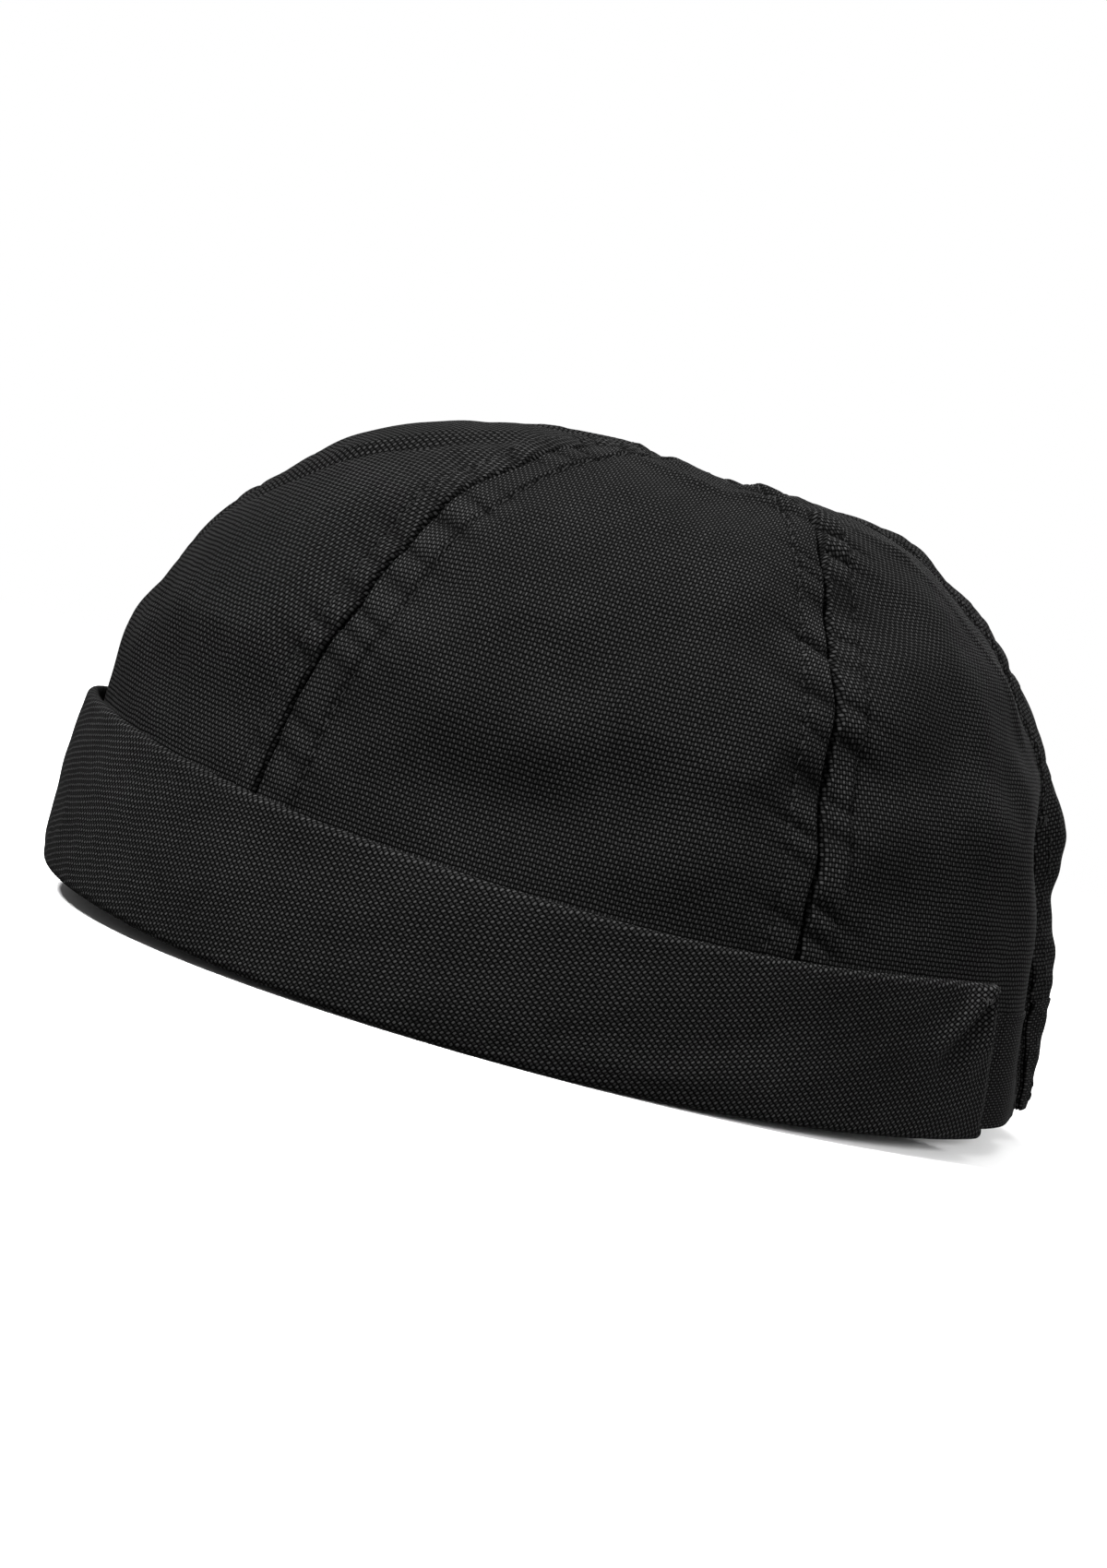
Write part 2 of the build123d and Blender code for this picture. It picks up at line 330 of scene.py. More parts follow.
def seam_distance(name, angle, polar):
    """Signed distance from a seam, along the level line."""
    return np.radians(wrapped(angle - SEAMS[name])) * level_scale(SEAMS[name], polar)


def waves(point, length, seed, count=10):
    """A smooth random field with about this wavelength and a spread of about 1."""
    rng = np.random.default_rng(RNG_SEED + seed)
    total = np.zeros(point.shape[:-1])
    for _ in range(count):
        way = rng.normal(size=3)
        way *= 2 * pi / length * rng.uniform(0.6, 1.4) / np.linalg.norm(way)
        total += np.sin(point @ way + rng.uniform(0, 2 * pi))
    return total / np.sqrt(count / 2)


def wave_line(arc, lengths, seed):
    """A random wave along a line, made of sines of these lengths."""
    rng = np.random.default_rng(RNG_SEED + seed)
    total = 0
    for length in lengths:
        total = total + np.sin(2 * pi * arc / length + rng.uniform(0, 2 * pi))
    return total / len(lengths)


def near_line(point, line):
    """Distance from each point to a line of corners, and how far along it, 0 to 1, the nearest place is."""
    corners = np.asarray(line, float)
    best = np.full(point.shape[:-1], 1e9)
    share = np.zeros(point.shape[:-1])
    for index in range(len(corners) - 1):
        start, side = corners[index], corners[index + 1] - corners[index]
        along = np.clip(((point - start) @ side) / (side @ side), 0, 1)
        away = np.linalg.norm(point - start - along[..., None] * side, axis=-1)
        closer = away < best
        best = np.where(closer, away, best)
        share = np.where(closer, (index + along) / (len(corners) - 1), share)
    return best, share


# Soft folds of the crown: (meridian angle, height) corners, height of the fold, its half width
FOLDS = [
    ([(20, 84), (29, 96), (38, 104), (48, 110)], -3.2, 3.4),
    ([(8, 90), (17, 103), (28, 112)], 1.6, 9.0),
    ([(70, 36), (82, 52), (88, 74)], -0.9, 9.0),
    ([(108, 40), (100, 60)], 0.8, 8.0),
    ([(128, 44), (140, 72), (146, 92)], -1.0, 8.0),
    ([(150, 36), (158, 60)], 0.9, 8.0),
    ([(30, 40), (34, 62)], -0.7, 9.0),
    ([(72, 117), (84, 115), (92, 111)], 1.0, 3.2),
    ([(102, 116.6), (98, 112)], -0.9, 3.6),
    ([(62, 114), (70, 108)], -0.6, 4.0),
    ([(56, 114), (90, 112.5), (122, 111.5), (146, 108)], 0.9, 1.9),
    ([(144, 109), (158, 96), (166, 78)], 0.8, 1.8),
    ([(118, 106), (132, 98)], -0.7, 3.0),
]


def panel_bulge(angle, arc):
    """How far the cloth between two seams stands out."""
    turned = (angle - sway(angle, polar_of(arc))) % 360
    total = np.zeros(np.broadcast(angle, arc).shape)
    swell = smooth(arc, 24, 70) * (1 - 0.55 * smooth(arc, 125, 165))
    for start, end, bulge in PANELS.values():
        share = (turned - start) / (end - start)
        inside = (share >= 0) & (share <= 1)
        shape = 1 - np.abs(2 * np.clip(share, 0, 1) - 1) ** 2.8
        total += np.where(inside, bulge * shape * swell, 0)
    return total - 0.1 * swell


def seam_relief(name, angle, polar, arc):
    """The valley of a seam, the raised allowances beside it, their stitched edges and puckers, and the
    painted shade in its valley, stitch grooves and pucker hollows, with a painted highlight on the pucker
    tops.
    """
    side = seam_distance(name, angle - sway(angle, polar), polar)
    away = np.abs(side)
    seed = list(SEAMS).index(name) * 2
    low_row, high_row, strength, pitch, rise = SEAM_FORM[name]
    row = np.where(side < 0, low_row, high_row)
    valley = -0.8 * np.exp(-((away / 0.4) ** 1.5))
    lip = 0.35 * np.exp(-(((side - 1.0) / 0.7) ** 2))
    strip = rise * smooth(away, 0.3, 1.2) * (1 - smooth(away, row - 0.4, row + 0.9))
    stitch = 0.7 + 0.3 * np.cos(2 * pi * arc / STITCH_PITCH)
    groove = -0.85 * np.exp(-(((away - row) / 0.5) ** 2)) * stitch
    envelope = smooth(away, 0.2, 1.6) * (1 - 0.35 * smooth(away, row - 0.8, row + 0.6))
    envelope = envelope * np.exp(-np.maximum(away - row, 0) / 4.5)
    puckers = np.zeros(np.broadcast(side, arc).shape)
    for index, way in enumerate((-1, 1)):
        slant = arc + 0.4 * way * away
        phase = slant / pitch + 0.5 * wave_line(slant, (19, 31, 47), 60 + seed + index)
        puff = np.abs(np.sin(pi * phase)) ** 0.5 - 0.7
        swell = 0.75 + 0.75 * wave_line(arc, (27, 43, 71), 95 + seed + index)
        puckers += np.where(side * way >= 0, puff * np.maximum(swell, 0.2), 0)
    crease = strength * envelope * puckers
    kept = smooth(level_scale(SEAMS[name], polar), 6, 18)
    # Painted shade: the seam's valley, stitch grooves and pucker hollows darken the cloth's colour, and the
    # pucker tops lighten it as painted highlight.
    crease_shading = 0.8 * valley + 1.5 * groove + 1.6 * crease
    return (valley + lip + strip + groove + crease) * kept, crease_shading * kept


def vent_swell(angle, height):
    """How far the slit's wearer's left edge is tucked in, and its right edge stands off behind it."""
    side = np.radians(wrapped(angle - 180)) * HALF_WIDTH
    past_edge = side - SLIT_HALF_WIDTH * np.clip(1 - height / SLIT_TOP, 0, 1)
    rise = smooth(past_edge, -3.0 - (side - past_edge), 10.0)
    tuck = 1.7 + 3.0 * smooth(height, 3, 22) - 0.8 * smooth(height, 40, 58)
    tuck *= (1 - smooth(-side, 8, 34)) * (1 - smooth(height, SLIT_TOP - 6, SLIT_TOP + 10))
    flap = (4.3 - 1.6 * smooth(height, 8, 50)) * np.exp(-np.maximum(past_edge - 11, 0) / 14)
    flap *= 1 - smooth(height, SLIT_TOP - 5, SLIT_TOP + 13)
    ripples = 0.3 * rise * np.sin(2 * pi * height / 7.5 + 0.35 * side)
    ripples *= np.exp(-np.maximum(past_edge - 6, 0) / 6) * (1 - smooth(height, SLIT_TOP - 8, SLIT_TOP))
    flare = 1.6 * (1 - smooth(np.abs(side), 20, 44)) * (1 - smooth(height, 16, 60))
    return flap * rise - tuck * (1 - rise) + ripples + flare


def relief(angle, polar):
    """How far the cloth stands off the smooth crown, and the painted shade that follows its seam valleys,
    stitch grooves and puckers.
    """
    angle, polar = np.broadcast_arrays(np.asarray(angle, float), np.asarray(polar, float))
    point = base(angle, polar)
    arc = arc_of(polar)
    height = point[..., 2]
    broad = panel_bulge(angle, arc)
    low = 0.25 + 0.75 * smooth(height, 22, 50)
    broad += low * (0.85 * waves(point, 70, 1) + 0.55 * waves(point, 32, 2) + 0.2 * waves(point, 14, 3))
    broad += vent_swell(angle, height)
    top = 1 - smooth(profile(polar)[0] * HALF_WIDTH, 4, 38)
    broad -= 3.2 * top
    fine, crease_shading = np.zeros(angle.shape), np.zeros(angle.shape)
    for name in SEAMS:
        if name == "rear_centre":
            kept = smooth(height, SLIT_TOP - 8, SLIT_TOP + 4)
        else:
            kept = 0.25 + 0.75 * smooth(height, 18, 34)
        seam, seam_shading = seam_relief(name, angle, polar, arc)
        fine += kept * seam
        crease_shading += kept * seam_shading
    for line, size, width in FOLDS:
        corners = [base(turn, polar_at_height(high, turn)) for turn, high in line]
        away, share = near_line(point, corners)
        broad += size * np.exp(-((away / width) ** 2)) * np.sin(pi * (0.08 + 0.84 * share)) ** 0.7
    total = broad + fine
    behind = smooth(np.abs(wrapped(angle - 180)), 18, 26)
    limit = 0.15 + 3.0 * smooth(height, CUFF_TOP - 6, CUFF_TOP + 8) + 4 * (1 - behind)
    total = np.where(total > limit, limit + 0.1 * np.tanh(total - limit), total)
    return total, crease_shading


def crown(angle, polar, lift=0.0):
    """A point of the crown's cloth, lifted off its outside by a distance."""
    angle, polar = np.broadcast_arrays(np.asarray(angle, float), np.asarray(polar, float))
    high, _ = relief(angle, polar)
    return base(angle, polar) + base_normal(angle, polar) * (high + lift)[..., None]


# ---- Meshes ----
def link_piece(name, mesh, body, material):
    """A piece that rides on a body and replaces the CAD node of its name."""
    piece = bpy.data.objects.new(name, mesh)
    bpy.context.scene.collection.objects.link(piece)
    mesh.materials.append(material)
    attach(piece, body)
    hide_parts(name)
    return piece


def link_thread(name, rows, body="cap"):
    link_piece(name, stitch_mesh(name, rows), body, THREAD)


def make_mesh(name, points, faces, uv, painted_relief_shade=None):
    """A smooth mesh from points in millimetres, with cloth coordinates and painted relief shade at each
    point. The rim's rise at the front and back bends all meshes alike."""
    mesh = bpy.data.meshes.new(name)
    points = np.array(points)
    points[:, 2] += RIM_LIFT * ((points[:, 1] - CENTRE_Y) / HALF_LENGTH) ** 2
    mesh.vertices.add(len(points))
    mesh.vertices.foreach_set("co", (points * MM).astype(np.float32).ravel())
    faces = np.asarray(faces)
    mesh.loops.add(faces.size)
    mesh.loops.foreach_set("vertex_index", faces.ravel().astype(np.int32))
    mesh.polygons.add(len(faces))
    mesh.polygons.foreach_set("loop_start", np.arange(0, faces.size, faces.shape[1], dtype=np.int32))
    mesh.polygons.foreach_set("use_smooth", np.ones(len(faces), dtype=bool))
    mesh.update(calc_edges=True)
    layer = mesh.uv_layers.new(name="cloth")
    layer.data.foreach_set("uv", np.asarray(uv, np.float32)[faces.ravel()].ravel())
    if painted_relief_shade is not None:
        attribute = mesh.attributes.new("painted_relief_shade", "FLOAT", "POINT")
        attribute.data.foreach_set("value", np.asarray(painted_relief_shade, np.float32).ravel())
    mesh.validate()
    return mesh


def grid_faces(rows, columns, first=0, turned=False):
    index = first + np.arange(rows * columns).reshape(rows, columns)
    a, b, c, d = index[:-1, :-1], index[:-1, 1:], index[1:, 1:], index[1:, :-1]
    order = (a, d, c, b) if turned else (a, b, c, d)
    return np.stack([x.ravel() for x in order], -1)


def shell_mesh(name, outer, inner, uv, painted_relief_shade):
    """A closed sheet of cloth from its outer and inner grids of points."""
    rows, columns = outer.shape[:2]
    count = rows * columns
    index = np.arange(count).reshape(rows, columns)
    rim = np.concatenate([index[0, :-1], index[:-1, -1], index[-1, :0:-1], index[:0:-1, 0]])
    following = np.roll(rim, -1)
    border = np.stack([rim, rim + count, following + count, following], -1)
    faces = np.concatenate([grid_faces(rows, columns), grid_faces(rows, columns, count, True), border])
    points = np.concatenate([outer.reshape(-1, 3), inner.reshape(-1, 3)])
    uv = np.tile(uv.reshape(-1, 2), (2, 1))
    painted_relief_shade = np.tile(painted_relief_shade.ravel(), 2)
    return make_mesh(name, points, faces, uv, painted_relief_shade)


def spread(length, edge, fine, coarse):
    """Shares from 0 to 1 along a length, closest at the very ends, fine near them and coarse between."""
    hem = [0, 0.08, 0.2, 0.36, 0.6]
    near = np.arange(hem[-1] + fine, edge, fine)
    half = np.concatenate([hem, near])
    count = max(int((length - 2 * edge) / coarse), 2)
    middle = np.linspace(half[-1], length - half[-1], count + 2)[1:-1]
    return np.concatenate([half, middle, length - half[::-1]]) / length


def even_spread(length, step):
    """Shares from 0 to 1 at an even step, with a rounded hem's extra places at the ends."""
    return spread(length, 0.7, step, step)


def edge_rounding(across, along, thickness):
    """Half thickness at each place of a grid, from the distances to its own borders."""
    away = np.minimum(
        np.minimum(across, across.max(axis=1, keepdims=True) - across),
        np.minimum(along, along.max(axis=0, keepdims=True) - along),
    )
    share = np.clip(away / (thickness / 2), 0, 1)
    return thickness / 2 * np.maximum(np.sqrt(1 - (1 - share) ** 2), 0.15)


def grid_lengths(points):
    """Distance along each row and up each column of a grid of points."""
    across = np.zeros(points.shape[:2])
    along = np.zeros(points.shape[:2])
    across[:, 1:] = np.cumsum(np.linalg.norm(np.diff(points, axis=1), axis=-1), axis=1)
    along[1:] = np.cumsum(np.linalg.norm(np.diff(points, axis=0), axis=-1), axis=0)
    return across, along


def crown_sheet(name, angle, polar, layer, uv, material, body="cap", extra=0.0):
    """A cloth piece of the crown on a grid of meridian and polar angles, between two lifts."""
    high, crease_shading = relief(angle, polar)
    high = high + extra
    middle, thickness = (layer[0] + layer[1]) / 2, layer[0] - layer[1]
    points = base(angle, polar)
    normal = base_normal(angle, polar)
    across, along = grid_lengths(points)
    half = edge_rounding(across, along, thickness)
    outer = points + normal * (high + middle + half)[..., None]
    inner = points + normal * (high + middle - half)[..., None]
    # Painted shade in seam valleys, stitch grooves and pucker hollows, and painted highlight on pucker tops,
    # stored on the mesh for the canvas colour.
    painted_relief_shade = np.clip(0.55 + 0.6 * crease_shading, 0, 1)
    mesh = shell_mesh(name, outer, inner, uv, painted_relief_shade)
    piece = link_piece(name, mesh, body, material)
    return piece


def slit_degrees(height):
    """Angle from the centre back to the edge of the slit."""
    open_share = np.clip(1 - height / SLIT_TOP, 0, 1)
    return np.degrees((0.05 + SLIT_HALF_WIDTH * open_share) / HALF_WIDTH)


# ---- Materials ----
def node_tree(name):
    material = bpy.data.materials.new(name)
    material.use_nodes = True
    tree = material.node_tree
    tree.nodes.clear()
    output = tree.nodes.new("ShaderNodeOutputMaterial")
    shader = tree.nodes.new("ShaderNodeBsdfPrincipled")
    tree.links.new(shader.outputs["BSDF"], output.inputs["Surface"])
    return material, tree, shader


def noise_node(tree, vector, scale, detail=2.0, rough=0.5):
    inputs = {"Scale": scale, "Detail": detail, "Roughness": rough, "Vector": vector}
    return new_node(tree, "TexNoise", inputs).outputs["Fac"]


def cloth_coordinates(tree):
    node = tree.nodes.new("ShaderNodeUVMap")
    node.uv_map = "cloth"
    return node.outputs["UV"]


def turned_coordinates(tree, vector, degrees_turned, pitch_across, pitch_along):
    """Yarn numbers across and along, from cloth coordinates in millimetres."""
    turn = new_node(tree, "Mapping", {"Rotation": (0, 0, radians(degrees_turned)), "Vector": vector})
    parts = new_node(tree, "SeparateXYZ", {"Vector": turn.outputs["Vector"]})
    across = math_node(tree, "DIVIDE", parts.outputs["X"], pitch_across)
    along = math_node(tree, "DIVIDE", parts.outputs["Y"], pitch_along)
    return across, along


def vector_of(tree, x, y):
    return new_node(tree, "CombineXYZ", {"X": x, "Y": y}).outputs["Vector"]


def ramp(tree, value, low, high):
    """0 at low, 1 at high and smooth between."""
    node = new_node(tree, "MapRange", {"Value": value, "From Min": low, "From Max": high})
    node.interpolation_type = "SMOOTHSTEP"
    return node.outputs["Result"]


def grey_mix(tree, share, dark, light):
    """A grey between two tones."""
    tone = multiply_add(tree, share, light - dark, dark)
    return new_node(tree, "CombineColor", {"Red": tone, "Green": tone, "Blue": tone}).outputs["Color"]


def finish_shader(tree, shader, colour, roughness, height, depth, sheen):
    """Set a cloth's colour, roughness and bump, whose depth is in millimetres."""
    bump = new_node(tree, "Bump", {"Strength": 1.0, "Distance": depth * MM, "Height": height})
    set_inputs(tree, shader, {
        "Base Color": colour,
        "Roughness": roughness,
        "Normal": bump.outputs["Normal"],
        "Sheen Weight": sheen,
        "Sheen Roughness": 0.45,
        "Specular IOR Level": 0.02,
    })


def canvas(name, turn=0.0, across=0.58, along=0.90, dark=0.0003, light=0.024):
    """Plain-weave cotton canvas, its yarn crowns painted lighter than the gaps between them: a painted sheen
    on the crowns and painted shade in the gaps.
    """
    material, tree, shader = node_tree(name)
    cloth = cloth_coordinates(tree)
    drift = new_node(tree, "TexNoise", {"Scale": 0.22, "Detail": 2.0, "Vector": cloth})
    wobble = new_node(tree, "VectorMath", {0: drift.outputs["Color"], 1: (0.7, 0.7, 0), 2: cloth})
    wobble.operation = "MULTIPLY_ADD"
    u, v = turned_coordinates(tree, wobble.outputs["Vector"], turn, across, along)
    wave_u = math_node(tree, "COSINE", multiply(tree, u, pi))
    wave_v = math_node(tree, "COSINE", multiply(tree, v, pi))
    sign = multiply(tree, wave_u, wave_v)
    warp = ramp(tree, sign, 0.02, 0.85)
    weft = ramp(tree, multiply(tree, sign, -1.0), 0.1, 0.95)
    slub_warp = noise_node(tree, vector_of(tree, u, multiply(tree, v, 0.06)), 1.3, 1.0)
    slub_weft = noise_node(tree, vector_of(tree, multiply(tree, u, 0.06), v), 1.3, 1.0)
    fibre = noise_node(tree, cloth, 6.0, 3.0, 0.65)
    warp_share = multiply(tree, warp, multiply_add(tree, slub_warp, 1.1, 0.45))
    weft_share = multiply(tree, weft, multiply_add(tree, slub_weft, 0.5, 0.12))
    crowns = math_node(tree, "ADD", warp_share, weft_share)
    patchy = noise_node(tree, cloth, 0.045, 3.0, 0.55)
    patchy = multiply_add(tree, patchy, 0.7, 0.65)
    # The mesh attribute darkens the colour as painted shade in seam valleys, grooves, pucker hollows and the
    # cuff's tack hollow, and lightens it as painted highlight on their ridges.
    relief_shade_factor = tree.nodes.new("ShaderNodeAttribute")
    relief_shade_factor.attribute_name = "painted_relief_shade"
    relief_shade_factor = multiply_add(tree, relief_shade_factor.outputs["Fac"], 1.1, 0.4)
    # Colour follows the weave's height: painted sheen on the yarn crowns, painted shade in the gaps.
    share = multiply(tree, crowns, multiply_add(tree, fibre, 1.0, 0.5))
    share = multiply(tree, share, multiply(tree, patchy, relief_shade_factor))
    height = multiply_add(tree, fibre, 0.25, crowns)
    rough = multiply_add(tree, crowns, -0.12, 0.9)
    finish_shader(tree, shader, grey_mix(tree, share, dark, light), rough, height, 0.16, 0.0)
    return material


def ribbed(name, dark, light, pitch, yarn_pitch, turn, sheen, yarn, fibre_scale, fibre_detail, rough, depth):
    """Slanting ribs with a fibrous surface, the rib crests painted lighter than the grooves as painted
    highlight and painted shade. rough is the share of the fibres in it, and its least.
    """
    material, tree, shader = node_tree(name)
    cloth = cloth_coordinates(tree)
    u, v = turned_coordinates(tree, cloth, turn, pitch, yarn_pitch)
    rib = math_node(tree, "COSINE", multiply(tree, u, 2 * pi))
    yarns = math_node(tree, "COSINE", multiply(tree, v, 2 * pi))
    fibre = noise_node(tree, cloth, fibre_scale, fibre_detail, 0.6)
    height = multiply_add(tree, rib, 0.4, multiply_add(tree, yarns, yarn, 0.5))
    # Colour follows the ribs' height: painted highlight on the crests, painted shade in the grooves.
    share = multiply(tree, height, multiply_add(tree, fibre, 1.0, 0.5))
    roughness = multiply_add(tree, fibre, *rough)
    finish_shader(tree, shader, grey_mix(tree, share, dark, light), roughness, height, depth, sheen)
    return material


def twill(name, dark, light, pitch=0.9, turn=45.0, sheen=0.08):
    """A fine twill."""
    return ribbed(name, dark, light, pitch, pitch * 0.6, turn, sheen, 0.12, 5.0, 3.0, (0.1, 0.82), 0.1)


PANEL_CANVAS = canvas("panel_canvas")
# The cuff's canvas is painted lighter than the panels' (light 0.029 against 0.024): painted light, as the
# cuff is cut from the same black canvas.
CUFF_CANVAS = canvas("cuff_canvas", turn=43.0, across=0.60, along=0.88, light=0.029)
BAND_CANVAS = canvas("band_canvas", turn=88.0)
TAPE_TWILL = twill("tape_twill", 0.004, 0.03)
SWEATBAND_TWILL = twill("sweatband_twill", 0.005, 0.035, pitch=0.7)
# Twisted sewing thread, its plies slanting round it
THREAD = ribbed("thread", 0.001, 0.028, 0.32, 1.0, 38.0, 0.1, 0.0, 4.0, 2.0, (0.15, 0.6), 0.05)
INTERLINING = twill("interlining_fleece", 0.02, 0.07, pitch=1.4, turn=20.0)
LABEL = twill("label_satin", 0.4, 0.65, pitch=0.4, turn=0.0)
HOOK_NYLON = twill("hook_nylon", 0.006, 0.05, pitch=1.3, turn=0.0, sheen=0.0)
LOOP_NAP = twill("loop_nap", 0.006, 0.05, pitch=1.1, turn=30.0, sheen=0.5)


# ---- Crown panels ----
def make_panels():
    """The six crown panels, each a curved sheet whose foot meets the rim band's upper edge."""
    foot = float(arc_of(polar_at_height(BAND_TOP - 0.3)))
    crest = float(ARC_LENGTH[-1]) - 0.5
    for name, (start, end, _) in PANELS.items():
        middle = (start + end) / 2
        width = radians(end - start) * float(level_scale(middle, 0.0))
        shares = spread(width, 7.0, 0.42, 1.0)
        arcs = foot + (crest - foot) * spread(crest - foot, 0.9, 0.8, 0.8)
        polar = polar_of(arcs)[:, None]
        gap = np.degrees(-0.05 / np.maximum(level_scale(middle, polar), 1))
        low, high = start + gap, end - gap
        slit = slit_degrees(HEIGHT * profile(polar, 180.0)[1])
        if start == 180:
            low = start + np.maximum(slit, gap)
        if end == 180:
            high = end - np.maximum(slit, gap)
        angle = low + (high - low) * shares[None, :]
        polar = np.broadcast_to(polar, angle.shape)
        angle = angle + sway(angle, polar)
        across = np.radians(angle - middle) * level_scale(middle, polar)
        uv = np.stack([across + 300, arc_of(polar)], -1)
        crown_sheet(name, angle, polar, (0.0, -CLOTH), uv, PANEL_CANVAS)


def band_sheet(name, angles, heights, layer, material, step, body="cap"):
    """A level band of cloth between two meridians, two heights and two lifts."""
    start, end = angles
    low, high = heights
    length = abs(radians(end - start)) * float(level_scale(45.0, 0.0))
    shares = even_spread(length, step)
    rises = even_spread(high - low, min(step, 1.0))
    angle = start + (end - start) * shares[None, :] + 0 * rises[:, None]
    tall = low + (high - low) * rises[:, None] + 0 * angle
    uv = np.stack([np.radians(angle) * MEAN_RADIUS, tall], -1)
    crown_sheet(name, angle, polar_at_height(tall, angle), layer, uv, material, body)


# ---- Stitches ----
STITCH_RINGS = 7
STITCH_SIDES = 6


def stitch_mesh(name, rows):
    """Separate stitches. Each row is a (place, starts, length, radius): place(along, lift) gives the points
    and outward directions at distances along the row, and starts are where the stitches begin."""
    points, faces, uv = [], [], []
    first = 0
    for place, starts, length, radius in rows:
        share = np.linspace(0, 1, STITCH_RINGS)
        along = np.asarray(starts)[:, None] + length * share[None, :]
        bend = np.abs(2 * share - 1)
        lift = radius * (0.75 - 2.3 * bend**4)
        centre, outward = place(along, np.broadcast_to(lift, along.shape))
        forward = np.gradient(centre, axis=1)
        forward /= np.linalg.norm(forward, axis=-1, keepdims=True)
        side = np.cross(forward, outward)
        side /= np.maximum(np.linalg.norm(side, axis=-1, keepdims=True), 1e-9)
        up = np.cross(side, forward)
        girth = radius * np.sqrt(np.maximum(1 - bend**5, 0.06))
        turns = np.linspace(0, 2 * pi, STITCH_SIDES, endpoint=False)
        ring = side[:, :, None] * np.cos(turns)[:, None] + up[:, :, None] * np.sin(turns)[:, None]
        ring = centre[:, :, None] + ring * girth[None, :, None, None]
        count = len(along)
        index = first + np.arange(ring[..., 0].size).reshape(count, STITCH_RINGS, STITCH_SIDES)
        following = np.roll(index, -1, axis=2)
        wall = np.stack([index[:, :-1], following[:, :-1], following[:, 1:], index[:, 1:]], -1)
        faces.append(wall.reshape(-1, 4))
        for end, order in ((0, (3, 2, 1, 0)), (0, (5, 4, 3, 0)), (-1, (0, 1, 2, 3)), (-1, (0, 3, 4, 5))):
            faces.append(index[:, end][:, list(order)])
        points.append(ring.reshape(-1, 3))
        lengths = np.broadcast_to(along[:, :, None], ring.shape[:-1])
        around = np.broadcast_to(turns * radius, ring.shape[:-1])
        uv.append(np.stack([lengths, around], -1).reshape(-1, 2))
        first += ring[..., 0].size
    return make_mesh(name, np.concatenate(points), np.concatenate(faces), np.concatenate(uv))


def seam_row(name, lateral):
    """The place of a row of stitches beside a seam, by arc length up the crown."""

    def place(along, lift):
        wander = 0.15 * wave_line(along, (17, 29, 41), 200 + int(10 * lateral) + list(SEAMS).index(name))
        angle, polar = beside_seam(name, polar_of(along), lateral + wander)
        return crown(angle, polar, lift), base_normal(angle, polar)

    return place


def crown_row(at, lift_by, outward):
    """The place of a row of stitches, from the meridian angle and height at distances along it. outward is
    1 on the outside and -1 on the inside."""

    def place(along, lift):
        angle, height = at(along)
        polar = polar_at_height(height, angle)
        return crown(angle, polar, lift_by + outward * lift), outward * base_normal(angle, polar)

    return place


def level_row(height, lift_by=0.0, outward=1.0):
    """A level row, by meridian angle in radians times the mean radius."""
    return crown_row(lambda along: (np.degrees(along / MEAN_RADIUS), height), lift_by, outward)


def upright_row(angle_at, lift_by=0.0, outward=1.0):
    """An upright row, by height."""
    return crown_row(lambda along: (angle_at(along), along), lift_by, outward)


def starts_between(low, high, pitch=STITCH_PITCH):
    return np.arange(np.ceil(low / pitch) * pitch, high - pitch, pitch)


def make_topstitching():
    """Two rows of single stitches beside every crown seam."""
    length, radius = 2.2, 0.14
    for name in SEAMS:
        low_row, high_row = SEAM_FORM[name][:2]
        foot = arc_of(polar_at_height(FACING_TOP if name == "rear_centre" else BAND_TOP + 3))
        crest = ARC_LENGTH[-1] - ROW_TOP_RADIUS
        starts = starts_between(foot, crest) + 0.35
        rows = [(seam_row(name, side), starts, length, radius) for side in (-low_row, high_row)]
        link_thread("topstitch_" + name, rows)


# ---- Cuff ----
CUFF_ROLL = 1.05
CUFF_TURN = 1.5
CUFF_FACE = CUFF_OUTER - CUFF_LAYER / 2
CUFF_BACK = CUFF_FACE - 2 * CUFF_ROLL
CUFF_END_TAPER = 2.6
CUFF_FRONT_RISE = 6.0


def arc_run(centre, radius, start, end, count):
    turns = np.radians(np.linspace(start, end, count))
    return np.stack([centre[0] + radius * np.cos(turns), centre[1] + radius * np.sin(turns)], -1)


def straight_run(start, end, step):
    count = max(int(np.hypot(end[0] - start[0], end[1] - start[1]) / step), 1) + 1
    return np.linspace(start, end, count)


def cuff_section():
    """(offset, height) along the strip: in under the rim, up the face, over the roll, down the back."""
    low = CUFF_LAYER / 2
    roll_height = CUFF_TOP - CUFF_LAYER / 2 - CUFF_ROLL
    runs = [
        straight_run((-0.5, low), (CUFF_FACE - CUFF_TURN, low), 0.6),
        arc_run((CUFF_FACE - CUFF_TURN, low + CUFF_TURN), CUFF_TURN, -90, 0, 7),
        straight_run((CUFF_FACE, low + CUFF_TURN), (CUFF_FACE, roll_height), 0.9),
        arc_run((CUFF_FACE - CUFF_ROLL, roll_height), CUFF_ROLL, 0, 180, 11),
        straight_run((CUFF_BACK, roll_height), (CUFF_BACK, 4.0), 1.5),
    ]
    return np.concatenate([run if index == 0 else run[1:] for index, run in enumerate(runs)])


def cuff_end(height):
    """Meridian angle of the cuff's left end at a height, measured back from the centre back."""
    gap = CUFF_GAP_FOOT + (CUFF_GAP_TOP - CUFF_GAP_FOOT) * height / CUFF_TOP
    return np.degrees(np.arcsin(gap / (HALF_WIDTH + CUFF_FACE)))


def cuff_ring(angle, height):
    """Points round the rim, for the cuff's random waves."""
    turn = np.radians(angle)
    return np.stack([np.sin(turn) * 95, np.cos(turn) * 95, height], -1)


